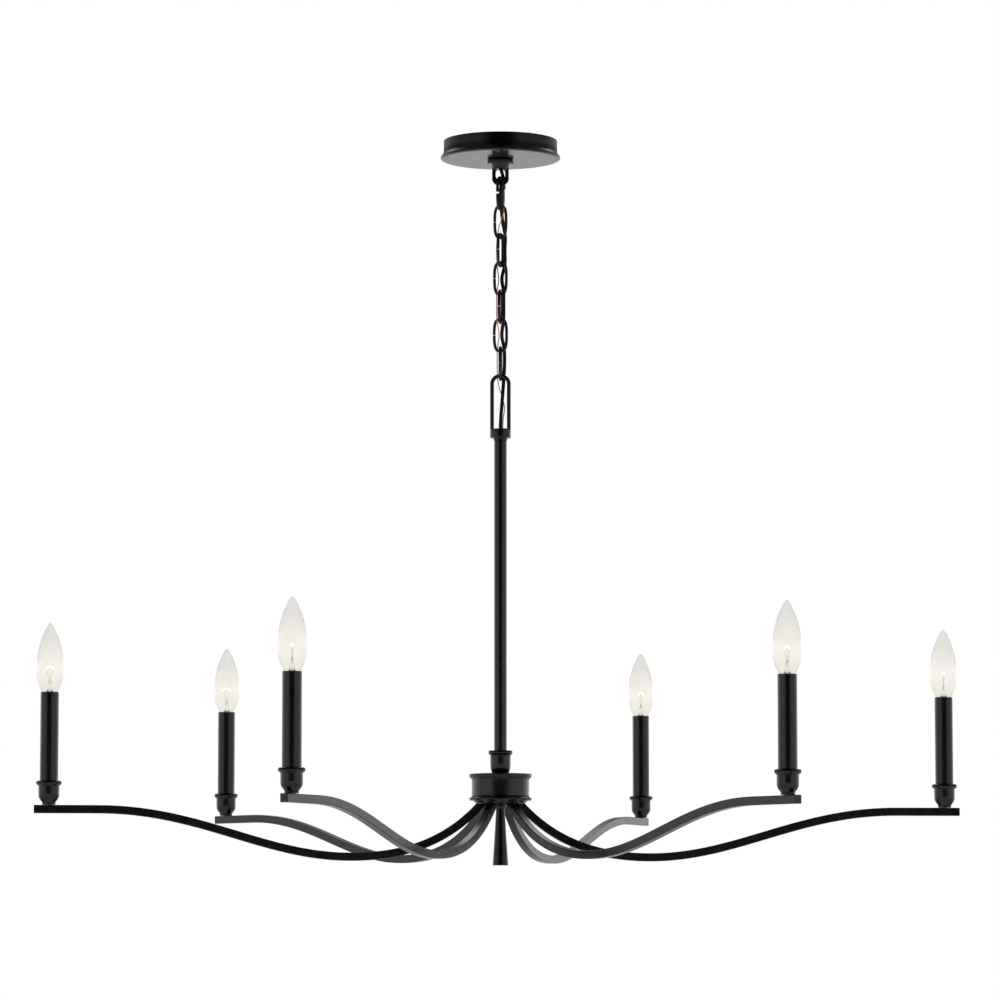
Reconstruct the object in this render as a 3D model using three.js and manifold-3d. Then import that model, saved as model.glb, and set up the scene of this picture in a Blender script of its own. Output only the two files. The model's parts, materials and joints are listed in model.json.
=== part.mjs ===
// Six-arm candle chandelier hung on a link chain.
// Millimetres, +Z up. The origin is the centre of the ceiling plane, where the fixture is held.
import * as THREE from 'three';
import { mergeVertices } from 'three/addons/utils/BufferGeometryUtils.js';
import Module from 'manifold-3d';

const wasm = await Module();
wasm.setup();

// ---------------------------------------------------------------- driving dimensions
const GAP = 0.3;                 // running or seating gap between neighbouring pieces
const CANDLE_RADIUS = 519;       // arm circle on which the candles stand
const ARM_AZIMUTHS = [5, 70, 131, 187.5, 245, 306];   // arms are hung by hand, so not quite even

const CANOPY = { drumR: 66.4, lipR: 70.4, height: 22, holeR: 11.6, wall: 1.2 };
const CROSSBAR = { length: 92, width: 16, thick: 2, cornerR: 5, slotX: 32, slotStraight: 8, slotR: 2.4 };
const GROUND_SCREW = { x: -18, holeR: 2.2, headR: 3.5, shankR: 1.9, bottom: -4.6 };
const LOCK_NUT = { across: 16, height: 4 };
const NIPPLE = { outerR: 4.8, boreR: 3.8, length: 26.3 };
const COLLAR_LOOP = {
  threadR: 10.9, top: -18, shoulder: -27, width: 19.5, bottom: -52, depth: 5.5, cordR: 4.1, edge: 0.8,
  eyeR: 5.5, eyeArch: -37.9, eyeBottom: -45.2, seatR: 4,
};
const RING_NUT = { boreR: 11.2, outerR: 15.2, height: 4.8, knurls: 20 };

const LINK = { count: 7, wireR: 1.75, halfWidth: 7.3, halfLength: 18.7, pitch: 33.4, topZ: -41.4 };
const LINK_TWIST = [28, 25, 22, 18, 14, 9, 5];        // the chain hangs with a lazy twist
const LINK_SEAM = 0.5;           // butt seam where the wire ends meet
const LINK_OPEN_SEAM = 2.2;      // the first link is the one that is prised open and closed

const STEM_LOOP = {
  top: -274.1, wireR: 2.3, legX: 9.75, collarR: 12.2, collarTop: -339.2, collarBottom: -349.8,
  neckR: 8.1, boreR: 4.2, plugBottom: -366,
};
const STEM = { outerR: 7.35, innerR: 5.8, top: -353, bottom: -712.6 };
const ROD = { outerR: 4, boreR: 2.6, top: -700, bottom: -780.5 };
const HUB = { top: -739.8, bottom: -770.7, drumR: 33.3, rimR: 36.3, wall: 1.2 };
const PLATE = { outerR: 31, bottom: -773.4, thick: 3, wireHoleR: 2.6, wireHoleCircle: 21.4 };
const HUB_NUT = { across: 15, height: 6 };
const FINIAL_BOTTOM = -845.2;

// Side view of an arm, centre line as (radius, height) from the tip inward.
const ARM = {
  size: 9.4, wall: 1.1, tipR: 536, level: -782.3, bendR: 462,
  lowR: 173.7, lowZ: -835.6, rootR: 18.3, rootZ: -770, rootSlope: 49.6,
  handles: [117, 100.3, 67.1, 58.9], cutZ: -773.7, wireHoleR: 2.5,
};

const CUP = { bottom: -777.3, top: -750.1, beadR: 14.85, bodyR: 12, neckR: 7.85, boreR: 4.6 };
const SLEEVE = { outerR: 10.5, wall: 1.1, bottom: -749.8, top: -649 };
const SOCKET = {
  outerR: 8.4, boreR: 6.5, top: -650.5, floor: -678, bodyBottom: -690, stemR: 4.2, stemBottom: -773,
};
const BULB_BASE = { outerR: 5.95, neckR: 5.6, top: -650.2, bottom: -676.5 };
const GLASS_WALL = 0.9;
// Bulb outline as (height above the sleeve, radius).
const BULB_OUTLINE = [
  [-0.5, 8.1], [5, 11.3], [12, 14.3], [20, 16.2], [30, 16.5], [40, 15.6], [50, 13.5],
  [60, 10.5], [69, 6.7], [75, 3.7], [78.4, 1.1],
];

const CORD = { radius: 1.8, steps: 38 };
const GROUND_WIRE = { radius: 0.6, steps: 50 };
// The supply cord's way from the canopy nipple, through the chain, into the stem.
const CORD_ROUTE = [
  [0, 0, -1], [0, 0, -24], [0.1, 0, -30], [1.2, -0.4, -35.5], [2.6, -1.9, -40.5], [2.8, -4.3, -44.5],
  [1.6, -7, -51], [0.4, -8.2, -58], [0.3, -8.5, -68], [0.9, -6.8, -79], [2.6, -0.9, -95],
  [5.6, 2.4, -112], [5.2, 2.2, -128],
  [5.2, 2.9, -145], [1.7, -0.5, -162], [3.6, -5.8, -178], [3.8, -5.6, -195], [3.6, -5.5, -212],
  [1.6, -0.2, -229], [4.4, 4.5, -245], [4.8, 4.6, -262], [4, 4.6, -278], [3, 2.6, -293],
  [1.5, 1, -312], [0.2, 0.1, -332], [0, 0, -345], [0, 0, -372],
];
// The bare ground wire wanders round the cord on the same way.
const WIRE_ROUTE = [
  [0, 2.75, -1], [0, 2.75, -24], [0.6, 2.8, -31], [2.6, 3.5, -37.5], [4.6, 4.9, -43.5], [5.6, 4.9, -49],
  [5.5, 2.6, -54.2], [4.6, -1.4, -57.8], [3.2, -4, -62], [2.8, -5, -69], [3.9, -6.4, -78], [3.8, -7.4, -84],
  [2.4, -6.8, -89.5], [0.4, -3.8, -95.5], [-1.8, 0.6, -102], [-3.5, 4.9, -110.5],
  [-4.6, 3.9, -128], [-4, 4.6, -145], [-2, 0.6, -165], [-4.2, -3, -179], [-4.4, -3, -195],
  [-4, -3.4, -212], [-1.6, 0, -229], [-3.6, 4, -245], [-3.8, 3.8, -262], [-3.4, 4.4, -278],
  [-1.4, 5.4, -290], [2.6, 5, -302], [4.6, 2.4, -314], [3.1, 0.4, -330], [2.8, 0, -345], [2.8, 0, -366],
];

// ---------------------------------------------------------------- finishes
const finish = (color, roughness, metalness) =>
  new THREE.MeshStandardMaterial({ color, roughness, metalness });
const satinBlack = finish(0x17171a, 0.42, 0.35);
const zincSteel = finish(0xb4b6b8, 0.4, 0.9);
const brass = finish(0xb08a48, 0.35, 0.95);
const phenolic = finish(0x1c1a19, 0.6, 0);
const clearGlass = finish(0xf2f4f4, 0.05, 0);
const blackCord = finish(0x121214, 0.55, 0);
const copper = finish(0xb4633f, 0.32, 0.95);

// ---------------------------------------------------------------- geometry helpers
// Welds the vertices of a closed geometry and drops the empty triangles at poles and seams.
function weld(geometry) {
  const bare = geometry.clone();
  bare.deleteAttribute('normal');
  bare.deleteAttribute('uv');
  const merged = mergeVertices(bare, 1e-4);
  const old = merged.getIndex().array;
  const kept = [];
  for (let i = 0; i < old.length; i += 3) {
    const [a, b, c] = [old[i], old[i + 1], old[i + 2]];
    if (a !== b && b !== c && c !== a) kept.push(a, b, c);
  }
  merged.setIndex(kept);
  return merged;
}

function solid(geometry) {
  const g = weld(geometry);
  return new wasm.Manifold(new wasm.Mesh({
    numProp: 3,
    vertProperties: new Float32Array(g.getAttribute('position').array),
    triVerts: new Uint32Array(g.getIndex().array),
  }));
}

function surface(manifold) {
  const mesh = manifold.getMesh();
  const g = new THREE.BufferGeometry();
  g.setAttribute('position', new THREE.BufferAttribute(new Float32Array(mesh.vertProperties), 3));
  g.setIndex(Array.from(mesh.triVerts));
  return g;
}

// Turned shape about Z from (radius, height) points, listed up the outside and down the inside.
function turned(points, segments, closeLoop = true) {
  const profile = points.map(([r, z]) => new THREE.Vector2(r, z));
  if (closeLoop) profile.push(profile[0].clone());
  const g = new THREE.LatheGeometry(profile, segments);
  g.rotateX(Math.PI / 2);
  return weld(g);
}

function cylinder(radius, bottom, top, segments, x = 0, y = 0) {
  const g = new THREE.CylinderGeometry(radius, radius, top - bottom, segments);
  g.rotateX(Math.PI / 2);
  g.translate(x, y, (top + bottom) / 2);
  return g;
}

function ringSection(radius, sides) {
  const shape = new THREE.Shape();
  for (let i = 0; i < sides; i += 1) {
    const a = (2 * Math.PI * (i + 0.5)) / sides;
    const p = [radius * Math.cos(a), radius * Math.sin(a)];
    if (i === 0) shape.moveTo(...p);
    else shape.lineTo(...p);
  }
  shape.closePath();
  return shape;
}

function wireAlong(path, radius, sides, steps) {
  const g = new THREE.ExtrudeGeometry(ringSection(radius, sides), { steps, extrudePath: path });
  return weld(g);
}

const route = (points) => new THREE.CatmullRomCurve3(points.map((p) => new THREE.Vector3(...p)));

function hexagon(acrossFlats, boreR, segments = 12) {
  const shape = ringSection(acrossFlats / 2 / Math.cos(Math.PI / 6), 6);
  const hole = new THREE.Path();
  hole.absarc(0, 0, boreR, 0, 2 * Math.PI, true);
  shape.holes.push(hole);
  shape.curveSegments = segments;
  return shape;
}

// Extrudes a flat shape upward from the given height.
function plate(shape, bottom, thick, curveSegments = 12) {
  const g = new THREE.ExtrudeGeometry(shape, { depth: thick, bevelEnabled: false, curveSegments });
  g.translate(0, 0, bottom);
  return weld(g);
}

// ---------------------------------------------------------------- ceiling pieces
function canopy() {
  const { drumR, lipR, height, holeR, wall } = CANOPY;
  return turned([
    [holeR, -height], [lipR - 3, -height], [lipR - 0.8, -height + 0.7], [lipR, -height + 2],
    [lipR - 0.6, -height + 3.4], [drumR + 1.6, -height + 5], [drumR + 0.3, -height + 7.4], [drumR, -12.5],
    [drumR, -1.2], [drumR - 0.6, 0], [drumR - wall, 0], [drumR - wall, -height + 6.4],
    [drumR - wall - 0.8, -height + wall], [holeR, -height + wall],
  ], 28);
}

function roundHole(x, radius) {
  const hole = new THREE.Path();
  hole.absarc(x, 0, radius, 0, 2 * Math.PI, true);
  return hole;
}

function slotHole(x, straight, radius) {
  const slot = new THREE.Path();
  slot.absarc(x + straight / 2, 0, radius, Math.PI / 2, -Math.PI / 2, true);
  slot.absarc(x - straight / 2, 0, radius, -Math.PI / 2, Math.PI / 2, true);
  slot.closePath();
  return slot;
}

function crossbar() {
  const { length, width, thick, cornerR: r, slotX, slotStraight, slotR } = CROSSBAR;
  const [l, w] = [length / 2, width / 2];
  const shape = new THREE.Shape();
  shape.moveTo(-l + r, -w);
  shape.lineTo(l - r, -w);
  shape.quadraticCurveTo(l, -w, l, -w + r);
  shape.lineTo(l, w - r);
  shape.quadraticCurveTo(l, w, l - r, w);
  shape.lineTo(-l + r, w);
  shape.quadraticCurveTo(-l, w, -l, w - r);
  shape.lineTo(-l, -w + r);
  shape.quadraticCurveTo(-l, -w, -l + r, -w);
  shape.holes.push(
    roundHole(0, NIPPLE.outerR + GAP),
    roundHole(GROUND_SCREW.x, GROUND_SCREW.holeR),
    slotHole(slotX, slotStraight, slotR),
    slotHole(-slotX, slotStraight, slotR),
  );
  return plate(shape, -thick, thick, 8);
}

function lockNut() {
  const { across, height } = LOCK_NUT;
  return plate(hexagon(across, NIPPLE.outerR + GAP), -CROSSBAR.thick - GAP - height, height);
}

function nipple() {
  const { outerR, boreR, length } = NIPPLE;
  return turned([[boreR, -length], [outerR, -length], [outerR, 0], [boreR, 0]], 16);
}

function collarLoop() {
  const { threadR, top, shoulder, width, bottom, depth, cordR, edge } = COLLAR_LOOP;
  const { eyeR, eyeArch, eyeBottom, seatR } = COLLAR_LOOP;
  const nippleR = NIPPLE.outerR + GAP;
  const half = width / 2;
  const collar = solid(turned([
    [cordR, -34.4], [8.4, -34.4], [9.8, -31], [threadR, -28.6], [threadR, top], [nippleR, top],
    [nippleR, shoulder], [cordR, shoulder],
  ], 24));
  const outline = new THREE.Shape();
  outline.moveTo(-half + 4.6, bottom);
  outline.lineTo(half - 4.6, bottom);
  outline.lineTo(half - 1.2, bottom + 3);
  outline.lineTo(half, bottom + 6);
  outline.lineTo(half, -29);
  outline.lineTo(-half, -29);
  outline.lineTo(-half, bottom + 6);
  outline.lineTo(-half + 1.2, bottom + 3);
  outline.closePath();
  const body = new THREE.ExtrudeGeometry(outline, { depth: depth - 2 * edge, bevelThickness: edge,
    bevelSize: edge, bevelOffset: -edge, bevelSegments: 1, curveSegments: 6 });
  body.rotateX(Math.PI / 2);
  body.translate(0, depth / 2 - edge, 0);
  const eye = new THREE.Shape();
  eye.moveTo(-seatR, eyeBottom);
  eye.lineTo(seatR, eyeBottom);
  eye.lineTo(eyeR, eyeBottom + 3.8);
  eye.lineTo(eyeR, eyeArch);
  eye.absarc(0, eyeArch, eyeR, 0, Math.PI, false);
  eye.lineTo(-eyeR, eyeBottom + 3.8);
  eye.closePath();
  const hole = new THREE.ExtrudeGeometry(eye, { depth: 30, bevelEnabled: false, curveSegments: 8 });
  hole.rotateX(Math.PI / 2);
  hole.translate(0, 15, 0);
  const cordBore = solid(cylinder(cordR, eyeArch - 3, shoulder + 0.1, 24));
  const threadBore = solid(cylinder(nippleR, shoulder, top + 1, 24));
  let loop = collar.add(solid(body)).subtract(solid(hole)).subtract(cordBore).subtract(threadBore);
  // The eye's lower edge is eased so that the link's bend can roll on it.
  const ease = 2.8;
  for (const side of [-1, 1]) {
    const bevel = new THREE.BoxGeometry(2 * seatR, ease, ease);
    bevel.rotateX(Math.PI / 4);
    bevel.translate(0, (side * depth) / 2, eyeBottom);
    loop = loop.subtract(solid(bevel));
  }
  return surface(loop);
}

function ringNut() {
  const { boreR, outerR, height, knurls } = RING_NUT;
  const top = -CANOPY.height - GAP;
  const shape = new THREE.Shape();
  for (let i = 0; i < 2 * knurls; i += 1) {
    const a = (Math.PI * i) / knurls;
    const r = i % 2 === 0 ? outerR : outerR - 0.7;
    if (i === 0) shape.moveTo(r, 0);
    else shape.lineTo(r * Math.cos(a), r * Math.sin(a));
  }
  shape.closePath();
  const hole = new THREE.Path();
  hole.absarc(0, 0, boreR, 0, 2 * Math.PI, true);
  shape.holes.push(hole);
  return plate(shape, top - height, height, 12);
}

function groundScrew() {
  const { headR, shankR, bottom } = GROUND_SCREW;
  const seat = -CROSSBAR.thick - GAP;
  return turned([
    [0, bottom], [headR - 0.9, bottom], [headR, bottom + 0.7], [headR, seat], [shankR, seat],
    [shankR, -GAP], [0, -GAP],
  ], 12, false);
}

// ---------------------------------------------------------------- chain
class LinkCurve extends THREE.Curve {
  constructor(seam) {
    super();
    this.start = Math.PI + seam / 2 / LINK.halfLength;
    this.sweep = 2 * Math.PI - seam / LINK.halfLength;
  }

  getPoint(t, target = new THREE.Vector3()) {
    const a = this.start + this.sweep * t;
    const [c, s] = [Math.cos(a), Math.sin(a)];
    const x = LINK.halfWidth * Math.sign(c) * Math.abs(c) ** (2 / 3);
    const z = LINK.halfLength * Math.sign(s) * Math.abs(s) ** (2 / 3);
    return target.set(x, 0, z);
  }
}

const linkShape = (seam) => wireAlong(new LinkCurve(seam), LINK.wireR, 6, 24);
const linkAngle = (i) => (i % 2 === 0 ? 90 : 0) - LINK_TWIST[i];

// ---------------------------------------------------------------- stem
function stemLoop() {
  const { top, wireR, legX, collarR, collarTop, collarBottom, neckR, boreR, plugBottom } = STEM_LOOP;
  const plugR = STEM.innerR - GAP;
  const bendZ = top - wireR - legX;
  const path = new THREE.CurvePath();
  const foot = collarTop - 4;
  path.add(new THREE.LineCurve3(new THREE.Vector3(-legX, 0, foot), new THREE.Vector3(-legX, 0, bendZ)));
  const bend = route([0, 1, 2, 3, 4, 5, 6].map((i) => {
    const a = Math.PI - (Math.PI * i) / 6;
    return [legX * Math.cos(a), 0, bendZ + legX * Math.sin(a)];
  }));
  path.add(bend);
  path.add(new THREE.LineCurve3(new THREE.Vector3(legX, 0, bendZ), new THREE.Vector3(legX, 0, foot)));
  const wire = solid(wireAlong(path, wireR, 8, 18));
  const collar = solid(turned([
    [boreR, plugBottom], [plugR, plugBottom], [plugR, STEM.top + GAP], [neckR, STEM.top + GAP],
    [neckR, collarBottom], [collarR - 0.6, collarBottom], [collarR, collarBottom + 0.8],
    [collarR, collarTop - 0.8], [collarR - 0.6, collarTop], [boreR, collarTop],
  ], 18));
  return surface(wire.add(collar));
}

function stem() {
  const { outerR, innerR, top, bottom } = STEM;
  return turned([[innerR, bottom], [outerR, bottom], [outerR, top], [innerR, top]], 20);
}

function stemCoupling() {
  const top = STEM.bottom - GAP;
  const bottom = HUB.top + GAP;
  return turned([
    [ROD.outerR + GAP, bottom], [9.5, bottom], [10.8, bottom + 3.2], [11.5, bottom + 6.4],
    [11.85, bottom + 11], [11.85, top - 5.4], [12.9, top - 4.5], [14.1, top - 3.4], [14.1, top - 1.2],
    [13.4, top], [ROD.outerR + GAP, top],
  ], 18);
}

function hubRod() {
  return turned([
    [ROD.boreR, ROD.bottom], [ROD.outerR, ROD.bottom], [ROD.outerR, ROD.top], [ROD.boreR, ROD.top],
  ], 12);
}

// ---------------------------------------------------------------- hub
function hubShell() {
  const { top, bottom, drumR, rimR, wall } = HUB;
  return turned([
    [drumR - wall, bottom], [rimR - 0.9, bottom], [rimR, bottom + 1], [rimR, bottom + 2.3],
    [rimR - 0.9, bottom + 3.5], [drumR + 0.6, bottom + 4.6], [drumR, bottom + 5.6], [drumR, top - 6.6],
    [drumR + 0.9, top - 5.9], [rimR - 0.8, top - 4.6], [rimR, top - 2.4], [rimR, top - 1],
    [rimR - 1.2, top], [ROD.outerR + GAP, top],
    [ROD.outerR + GAP, top - 1.6], [drumR - wall, top - 1.6],
  ], 28);
}

function hubPlate() {
  const { outerR, bottom, thick, wireHoleR, wireHoleCircle } = PLATE;
  let disc = solid(turned([
    [ROD.outerR + GAP, bottom], [outerR - 2, bottom], [outerR, bottom + thick - 0.6],
    [outerR, bottom + thick], [ROD.outerR + GAP, bottom + thick],
  ], 24));
  for (const azimuth of ARM_AZIMUTHS) {
    const a = THREE.MathUtils.degToRad(azimuth);
    const [x, y] = [wireHoleCircle * Math.cos(a), wireHoleCircle * Math.sin(a)];
    disc = disc.subtract(solid(cylinder(wireHoleR, bottom - 1, bottom + thick + 1, 6, x, y)));
  }
  return surface(disc);
}

function hubNut() {
  const { across, height } = HUB_NUT;
  return plate(hexagon(across, ROD.outerR + GAP), PLATE.bottom + PLATE.thick + GAP, height);
}

function finial() {
  const b = FINIAL_BOTTOM;
  return turned([
    [0, b], [8.8, b], [9.1, b + 0.5], [8.75, b + 4], [8.25, b + 12.7], [7.55, b + 23], [6.9, b + 33],
    [6.25, b + 43.5], [5.6, b + 54], [5.2, b + 62], [5.2, b + 66], [6.6, b + 68.4], [6.6, ARM.cutZ - 0.1],
    [ROD.outerR + GAP, ARM.cutZ - 0.1], [ROD.outerR + GAP, ROD.bottom - 1], [0, ROD.bottom - 1],
  ], 14, false);
}

// ---------------------------------------------------------------- arms
// Centre line points and their upward normals, from the tip to just inside the hub plate.
function armLine(tipR) {
  const { level, bendR, lowR, lowZ, rootR, rootZ, rootSlope, handles } = ARM;
  const slope = THREE.MathUtils.degToRad(rootSlope);
  const [h1, h2, h3, h4] = handles;
  const v = (x, y) => new THREE.Vector2(x, y);
  const outer = new THREE.CubicBezierCurve(v(bendR, level), v(bendR - h1, level),
    v(lowR + h2, lowZ), v(lowR, lowZ));
  const inner = new THREE.CubicBezierCurve(v(lowR, lowZ), v(lowR - h3, lowZ),
    v(rootR + h4 * Math.cos(slope), rootZ - h4 * Math.sin(slope)), v(rootR, rootZ));
  const points = [v(tipR, level), ...outer.getSpacedPoints(10), ...inner.getSpacedPoints(8).slice(1)];
  const normals = points.map((p, i) => {
    const before = points[Math.max(i - 1, 0)];
    const after = points[Math.min(i + 1, points.length - 1)];
    const along = after.clone().sub(before).normalize();
    return v(along.y, -along.x);
  });
  return { points, normals };
}

// A square bar along the centre line: the side outline pushed out sideways.
function armBar(size, tipR) {
  const { points, normals } = armLine(tipR);
  const above = points.map((p, i) => p.clone().addScaledVector(normals[i], size / 2));
  const below = points.map((p, i) => p.clone().addScaledVector(normals[i], -size / 2));
  const shape = new THREE.Shape([...above, ...below.reverse()]);
  const g = new THREE.ExtrudeGeometry(shape, { depth: size, bevelEnabled: false });
  g.rotateX(Math.PI / 2);
  g.translate(0, size / 2, 0);
  return solid(g);
}

function arm() {
  const { size, wall, tipR, level, cutZ, wireHoleR } = ARM;
  const aboveHub = new THREE.BoxGeometry(90, 40, 20);
  aboveHub.translate(20, 0, cutZ + 10);
  const wireHole = cylinder(wireHoleR, level, level + size, 6, CANDLE_RADIUS, 0);
  const tube = armBar(size, tipR)
    .subtract(armBar(size - 2 * wall, tipR - 2))
    .subtract(solid(aboveHub))
    .subtract(solid(wireHole));
  return surface(tube);
}

// ---------------------------------------------------------------- candles, built about their own axis
function candleCup() {
  const { bottom, top, beadR, bodyR, neckR, boreR } = CUP;
  return turned([
    [boreR, bottom], [neckR, bottom], [neckR, bottom + 3.2], [10.4, bottom + 6], [bodyR, bottom + 11],
    [bodyR, top - 5.4], [beadR - 0.5, top - 4.4], [beadR, top - 2.4], [beadR - 1.4, top],
    [9.2, top], [9.2, bottom + 8], [boreR, bottom + 8],
  ], 12);
}

function candleSleeve() {
  const { outerR, wall, bottom, top } = SLEEVE;
  return turned([[outerR - wall, bottom], [outerR, bottom], [outerR, top], [outerR - wall, top]], 14);
}

function lampSocket() {
  const { outerR, boreR, top, floor, bodyBottom, stemR, stemBottom } = SOCKET;
  return turned([
    [0, stemBottom], [stemR, stemBottom], [stemR, bodyBottom - 4], [outerR, bodyBottom], [outerR, top],
    [boreR, top], [boreR, floor], [0, floor],
  ], 10, false);
}

function bulbBase() {
  const { outerR, neckR, top, bottom } = BULB_BASE;
  return turned([
    [0, bottom], [2.6, bottom], [outerR, bottom + 4], [outerR, top - 6], [neckR, top - 5],
    [neckR, top], [0, top],
  ], 10, false);
}

function bulbGlass() {
  const outer = BULB_OUTLINE.map(([h, r]) => [r, SLEEVE.top + h]);
  const inner = BULB_OUTLINE.slice(0, -1)
    .filter((p, i) => i % 2 === 0)
    .map(([h, r]) => [Math.max(r - GLASS_WALL, 1.2), SLEEVE.top + h]);
  const tip = [0, SLEEVE.top + BULB_OUTLINE.at(-1)[0] + 0.3];
  const crown = [0, SLEEVE.top + BULB_OUTLINE.at(-2)[0] - 1];
  return turned([...outer, tip, crown, ...inner.reverse()], 11);
}

// ---------------------------------------------------------------- assembly
const chandelier = new THREE.Group();

function place(parent, name, geometry, material) {
  const mesh = new THREE.Mesh(geometry, material);
  mesh.name = name;
  parent.add(mesh);
  return mesh;
}

place(chandelier, 'crossbar', crossbar(), zincSteel);
place(chandelier, 'crossbar_nut', lockNut(), zincSteel);
place(chandelier, 'ground_screw', groundScrew(), zincSteel).position.x = GROUND_SCREW.x;
place(chandelier, 'canopy_nipple', nipple(), zincSteel);
place(chandelier, 'collar_loop', collarLoop(), satinBlack);
place(chandelier, 'canopy', canopy(), satinBlack);
place(chandelier, 'ring_nut', ringNut(), satinBlack);

for (let i = 0; i < LINK.count; i += 1) {
  const seam = i === 0 ? LINK_OPEN_SEAM : LINK_SEAM;
  const link = place(chandelier, `chain_link_${i + 1}`, linkShape(seam), satinBlack);
  link.position.z = LINK.topZ - i * LINK.pitch - LINK.halfLength - LINK.wireR;
  link.rotation.z = THREE.MathUtils.degToRad(linkAngle(i));
}

place(chandelier, 'stem_loop', stemLoop(), satinBlack);
place(chandelier, 'stem', stem(), satinBlack);
place(chandelier, 'stem_coupling', stemCoupling(), satinBlack);
place(chandelier, 'hub_rod', hubRod(), zincSteel);
place(chandelier, 'hub_shell', hubShell(), satinBlack);
place(chandelier, 'hub_plate', hubPlate(), satinBlack);
place(chandelier, 'hub_nut', hubNut(), zincSteel);
place(chandelier, 'finial', finial(), satinBlack);

place(chandelier, 'supply_cord', wireAlong(route(CORD_ROUTE), CORD.radius, 8, CORD.steps), blackCord);
place(chandelier, 'ground_wire',
  wireAlong(route(WIRE_ROUTE), GROUND_WIRE.radius, 6, GROUND_WIRE.steps), copper);

ARM_AZIMUTHS.forEach((azimuth, i) => {
  const branch = new THREE.Group();
  branch.rotation.z = THREE.MathUtils.degToRad(azimuth);
  chandelier.add(branch);
  place(branch, `arm_${i + 1}`, arm(), satinBlack);
  const candle = new THREE.Group();
  candle.position.x = CANDLE_RADIUS;
  branch.add(candle);
  place(candle, `candle_cup_${i + 1}`, candleCup(), satinBlack);
  place(candle, `candle_sleeve_${i + 1}`, candleSleeve(), satinBlack);
  place(candle, `socket_${i + 1}`, lampSocket(), phenolic);
  place(candle, `bulb_base_${i + 1}`, bulbBase(), brass);
  place(candle, `bulb_glass_${i + 1}`, bulbGlass(), clearGlass);
});

export default chandelier;
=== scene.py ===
import json
import math

import bmesh
import bpy
from mathutils import Matrix, Vector


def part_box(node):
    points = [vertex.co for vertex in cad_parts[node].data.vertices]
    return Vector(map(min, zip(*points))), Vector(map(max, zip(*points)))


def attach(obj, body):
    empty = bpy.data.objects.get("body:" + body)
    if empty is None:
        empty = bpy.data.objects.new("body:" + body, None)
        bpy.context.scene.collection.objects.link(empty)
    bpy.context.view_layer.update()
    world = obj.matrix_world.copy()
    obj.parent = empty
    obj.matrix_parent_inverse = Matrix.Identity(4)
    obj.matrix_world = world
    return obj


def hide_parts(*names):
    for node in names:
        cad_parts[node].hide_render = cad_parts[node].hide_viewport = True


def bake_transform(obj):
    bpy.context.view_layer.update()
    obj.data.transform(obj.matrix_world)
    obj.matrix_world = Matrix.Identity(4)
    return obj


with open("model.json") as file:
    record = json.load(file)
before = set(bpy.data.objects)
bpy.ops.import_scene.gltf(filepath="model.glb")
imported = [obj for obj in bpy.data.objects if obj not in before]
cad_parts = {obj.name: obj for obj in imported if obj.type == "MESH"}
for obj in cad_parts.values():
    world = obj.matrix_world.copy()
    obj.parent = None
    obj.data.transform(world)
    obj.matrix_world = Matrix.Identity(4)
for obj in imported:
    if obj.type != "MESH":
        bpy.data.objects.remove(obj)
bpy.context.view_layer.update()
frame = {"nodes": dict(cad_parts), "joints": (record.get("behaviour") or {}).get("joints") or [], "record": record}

MM = 0.001
BODY_OF = {node: body for body, nodes in frame["record"]["behaviour"]["bodies"].items() for node in nodes}
SLOT_OF = {part["node"]: part["material_slot"] for part in frame["record"]["subparts"]}
ARM_NUMBERS = range(1, 7)
LINK_NUMBERS = range(1, 8)
CHAIN = ["ceiling", *[f"link_{i}" for i in LINK_NUMBERS], "chandelier"]

# ------------------------------------------------------------------ the camera
CAMERA_PLACE = (-0.0005, -5.2, -0.9295)
CAMERA_PITCH = 0.0973                  # radians above the horizon
CAMERA_LENS, CAMERA_SENSOR = 161.9, 36           # millimetres
CAMERA_NEAR, CAMERA_FAR = 0.1, 200


def make_camera():
    data = bpy.data.cameras.new("camera")
    data.lens = CAMERA_LENS
    data.sensor_width = CAMERA_SENSOR
    data.clip_start, data.clip_end = CAMERA_NEAR, CAMERA_FAR
    camera = bpy.data.objects.new("camera", data)
    camera.location = CAMERA_PLACE
    camera.rotation_euler = (math.pi / 2 + CAMERA_PITCH, 0, 0)
    bpy.context.scene.collection.objects.link(camera)
    bpy.context.scene.camera = camera


make_camera()


# ------------------------------------------------------------------ mesh helpers
SHARP_EDGE = 34                        # degrees between faces, above which an edge stays crisp
ROUNDING_LIMIT = 0.42                  # share of the shorter side that a rounded corner may take
SUPPORT_REACH = 0.15                   # how far past a rounding its support point stands, as a share of it
BEVEL_ABOVE = 40                       # degrees between faces, above which solid_ops eases an edge


def mesh_of(name, bm, sharp=SHARP_EDGE):
    """Turns a bmesh into a mesh, smooth but for edges sharper than the given angle."""
    bmesh.ops.remove_doubles(bm, verts=bm.verts, dist=1e-7)
    bmesh.ops.recalc_face_normals(bm, faces=bm.faces)
    for face in bm.faces:
        face.smooth = True
    for edge in bm.edges:
        if edge.is_manifold and edge.calc_face_angle() > math.radians(sharp):
            edge.smooth = False
    mesh = bpy.data.meshes.new(name)
    bm.to_mesh(mesh)
    bm.free()
    return mesh


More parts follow.
